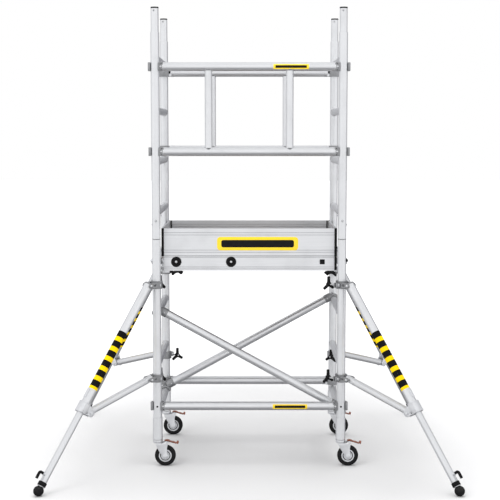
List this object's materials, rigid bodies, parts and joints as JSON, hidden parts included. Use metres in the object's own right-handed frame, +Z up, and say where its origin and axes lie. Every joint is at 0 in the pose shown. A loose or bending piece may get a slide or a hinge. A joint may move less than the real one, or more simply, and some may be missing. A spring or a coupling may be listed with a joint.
{
  "type": "mobile tower scaffold",
  "caption": "Free-standing aluminium scaffold tower: ladder frames, braces, guardrails, trapdoor platform with toe boards, braked casters and telescopic outriggers.",
  "frame": {"origin": "on the floor, at the middle of the four posts", "axes": "+Z up, +X along the platform towards the casters' trailing side, -Y the front"},
  "size_m": [2.3654, 2.0084, 2.702],
  "materials": {
    "tube_aluminium": "satin mill finish",
    "cast_alloy": "as cast, matt",
    "caster_steel": "bright zinc plate",
    "tyre_rubber": "matt rubber",
    "foot_rubber": "matt rubber",
    "black_plastic": "fine grain",
    "deck_ply": "film-faced plywood with anti-slip print",
    "brake_copper": "satin copper-brown paint"
  },
  "bodies": {
    "tower": {"base_frame_left": "tube_aluminium", "base_frame_right": "tube_aluminium", "upper_frame_left": "tube_aluminium", "upper_frame_right": "tube_aluminium", "base_brace_front": "tube_aluminium", "base_brace_rear": "tube_aluminium", "diagonal_brace_front": "tube_aluminium", "diagonal_brace_rear": "tube_aluminium", "guardrail_front": "tube_aluminium", "guardrail_rear": "tube_aluminium", "platform_frame": "tube_aluminium", "deck_board": "deck_ply", "toe_board_front": "tube_aluminium", "toe_board_rear": "tube_aluminium", "toe_board_left": "tube_aluminium", "toe_board_right": "tube_aluminium"},
    "trapdoor": {"trapdoor": "deck_ply"},
    "caster_front_left": {"caster_fork_front_left": "caster_steel"},
    "wheel_front_left": {"caster_wheel_front_left": "tyre_rubber"},
    "pedal_front_left": {"brake_pedal_front_left": "brake_copper"},
    "outrigger_front_left": {"outrigger_leg_front_left": "tube_aluminium", "outrigger_brace_front_left": "tube_aluminium", "upper_clamp_front_left": "cast_alloy", "lower_clamp_front_left": "cast_alloy"},
    "extension_front_left": {"outrigger_extension_front_left": "tube_aluminium", "outrigger_foot_front_left": "foot_rubber"},
    "lock_handle_front_left": {"lock_handle_front_left": "black_plastic"},
    "caster_front_right": {"caster_fork_front_right": "caster_steel"},
    "wheel_front_right": {"caster_wheel_front_right": "tyre_rubber"},
    "pedal_front_right": {"brake_pedal_front_right": "brake_copper"},
    "outrigger_front_right": {"outrigger_leg_front_right": "tube_aluminium", "outrigger_brace_front_right": "tube_aluminium", "upper_clamp_front_right": "cast_alloy", "lower_clamp_front_right": "cast_alloy"},
    "extension_front_right": {"outrigger_extension_front_right": "tube_aluminium", "outrigger_foot_front_right": "foot_rubber"},
    "lock_handle_front_right": {"lock_handle_front_right": "black_plastic"},
    "caster_rear_left": {"caster_fork_rear_left": "caster_steel"},
    "wheel_rear_left": {"caster_wheel_rear_left": "tyre_rubber"},
    "pedal_rear_left": {"brake_pedal_rear_left": "brake_copper"},
    "outrigger_rear_left": {"outrigger_leg_rear_left": "tube_aluminium", "outrigger_brace_rear_left": "tube_aluminium", "upper_clamp_rear_left": "cast_alloy", "lower_clamp_rear_left": "cast_alloy"},
    "extension_rear_left": {"outrigger_extension_rear_left": "tube_aluminium", "outrigger_foot_rear_left": "foot_rubber"},
    "lock_handle_rear_left": {"lock_handle_rear_left": "black_plastic"},
    "caster_rear_right": {"caster_fork_rear_right": "caster_steel"},
    "wheel_rear_right": {"caster_wheel_rear_right": "tyre_rubber"},
    "pedal_rear_right": {"brake_pedal_rear_right": "brake_copper"},
    "outrigger_rear_right": {"outrigger_leg_rear_right": "tube_aluminium", "outrigger_brace_rear_right": "tube_aluminium", "upper_clamp_rear_right": "cast_alloy", "lower_clamp_rear_right": "cast_alloy"},
    "extension_rear_right": {"outrigger_extension_rear_right": "tube_aluminium", "outrigger_foot_rear_right": "foot_rubber"},
    "lock_handle_rear_right": {"lock_handle_rear_right": "black_plastic"}
  },
  "joints": [
    {"name": "trapdoor_hinge", "type": "hinge", "parent": "tower", "child": "trapdoor", "pos_m": [-0.155, 0.2485, 1.25], "axis": [-1, 0, 0], "range_deg": [0, 90]},
    {"name": "caster_swivel_front_left", "type": "hinge", "parent": "tower", "child": "caster_front_left", "pos_m": [-0.545, -0.3665, 0.15], "axis": [0, 0, 1], "continuous": true},
    {"name": "wheel_spin_front_left", "type": "hinge", "parent": "caster_front_left", "child": "wheel_front_left", "pos_m": [-0.501, -0.3665, 0.0625], "axis": [0, 1, 0], "continuous": true},
    {"name": "brake_pedal_front_left", "type": "hinge", "parent": "caster_front_left", "child": "pedal_front_left", "pos_m": [-0.491, -0.3665, 0.146], "axis": [0, 1, 0], "range_deg": [0, 14]},
    {"name": "outrigger_swing_front_left", "type": "hinge", "parent": "tower", "child": "outrigger_front_left", "pos_m": [-0.545, -0.3665, 1.09], "axis": [0, 0, 1], "range_deg": [-45, 45]},
    {"name": "outrigger_extend_front_left", "type": "slide", "parent": "outrigger_front_left", "child": "extension_front_left", "axis": [-0.4232, -0.4232, -0.8011], "range_m": [-0.35, 0]},
    {"name": "lock_pull_front_left", "type": "slide", "parent": "extension_front_left", "child": "lock_handle_front_left", "axis": [-0.5665, -0.5665, 0.5985], "range_m": [0, 0.012], "stiffness_N_per_m": 900},
    {"name": "caster_swivel_front_right", "type": "hinge", "parent": "tower", "child": "caster_front_right", "pos_m": [0.545, -0.3665, 0.15], "axis": [0, 0, 1], "continuous": true},
    {"name": "wheel_spin_front_right", "type": "hinge", "parent": "caster_front_right", "child": "wheel_front_right", "pos_m": [0.589, -0.3665, 0.0625], "axis": [0, 1, 0], "continuous": true},
    {"name": "brake_pedal_front_right", "type": "hinge", "parent": "caster_front_right", "child": "pedal_front_right", "pos_m": [0.599, -0.3665, 0.146], "axis": [0, 1, 0], "range_deg": [0, 14]},
    {"name": "outrigger_swing_front_right", "type": "hinge", "parent": "tower", "child": "outrigger_front_right", "pos_m": [0.545, -0.3665, 1.09], "axis": [0, 0, 1], "range_deg": [-45, 45]},
    {"name": "outrigger_extend_front_right", "type": "slide", "parent": "outrigger_front_right", "child": "extension_front_right", "axis": [0.4232, -0.4232, -0.8011], "range_m": [-0.35, 0]},
    {"name": "lock_pull_front_right", "type": "slide", "parent": "extension_front_right", "child": "lock_handle_front_right", "axis": [0.5665, -0.5665, 0.5985], "range_m": [0, 0.012], "stiffness_N_per_m": 900},
    {"name": "caster_swivel_rear_left", "type": "hinge", "parent": "tower", "child": "caster_rear_left", "pos_m": [-0.545, 0.3665, 0.15], "axis": [0, 0, 1], "continuous": true},
    {"name": "wheel_spin_rear_left", "type": "hinge", "parent": "caster_rear_left", "child": "wheel_rear_left", "pos_m": [-0.501, 0.3665, 0.0625], "axis": [0, 1, 0], "continuous": true},
    {"name": "brake_pedal_rear_left", "type": "hinge", "parent": "caster_rear_left", "child": "pedal_rear_left", "pos_m": [-0.491, 0.3665, 0.146], "axis": [0, 1, 0], "range_deg": [0, 14]},
    {"name": "outrigger_swing_rear_left", "type": "hinge", "parent": "tower", "child": "outrigger_rear_left", "pos_m": [-0.545, 0.3665, 1.09], "axis": [0, 0, 1], "range_deg": [-45, 45]},
    {"name": "outrigger_extend_rear_left", "type": "slide", "parent": "outrigger_rear_left", "child": "extension_rear_left", "axis": [-0.4232, 0.4232, -0.8011], "range_m": [-0.35, 0]},
    {"name": "lock_pull_rear_left", "type": "slide", "parent": "extension_rear_left", "child": "lock_handle_rear_left", "axis": [-0.5665, 0.5665, 0.5985], "range_m": [0, 0.012], "stiffness_N_per_m": 900},
    {"name": "caster_swivel_rear_right", "type": "hinge", "parent": "tower", "child": "caster_rear_right", "pos_m": [0.545, 0.3665, 0.15], "axis": [0, 0, 1], "continuous": true},
    {"name": "wheel_spin_rear_right", "type": "hinge", "parent": "caster_rear_right", "child": "wheel_rear_right", "pos_m": [0.589, 0.3665, 0.0625], "axis": [0, 1, 0], "continuous": true},
    {"name": "brake_pedal_rear_right", "type": "hinge", "parent": "caster_rear_right", "child": "pedal_rear_right", "pos_m": [0.599, 0.3665, 0.146], "axis": [0, 1, 0], "range_deg": [0, 14]},
    {"name": "outrigger_swing_rear_right", "type": "hinge", "parent": "tower", "child": "outrigger_rear_right", "pos_m": [0.545, 0.3665, 1.09], "axis": [0, 0, 1], "range_deg": [-45, 45]},
    {"name": "outrigger_extend_rear_right", "type": "slide", "parent": "outrigger_rear_right", "child": "extension_rear_right", "axis": [0.4232, 0.4232, -0.8011], "range_m": [-0.35, 0]},
    {"name": "lock_pull_rear_right", "type": "slide", "parent": "extension_rear_right", "child": "lock_handle_rear_right", "axis": [0.5665, 0.5665, 0.5985], "range_m": [0, 0.012], "stiffness_N_per_m": 900}
  ]
}
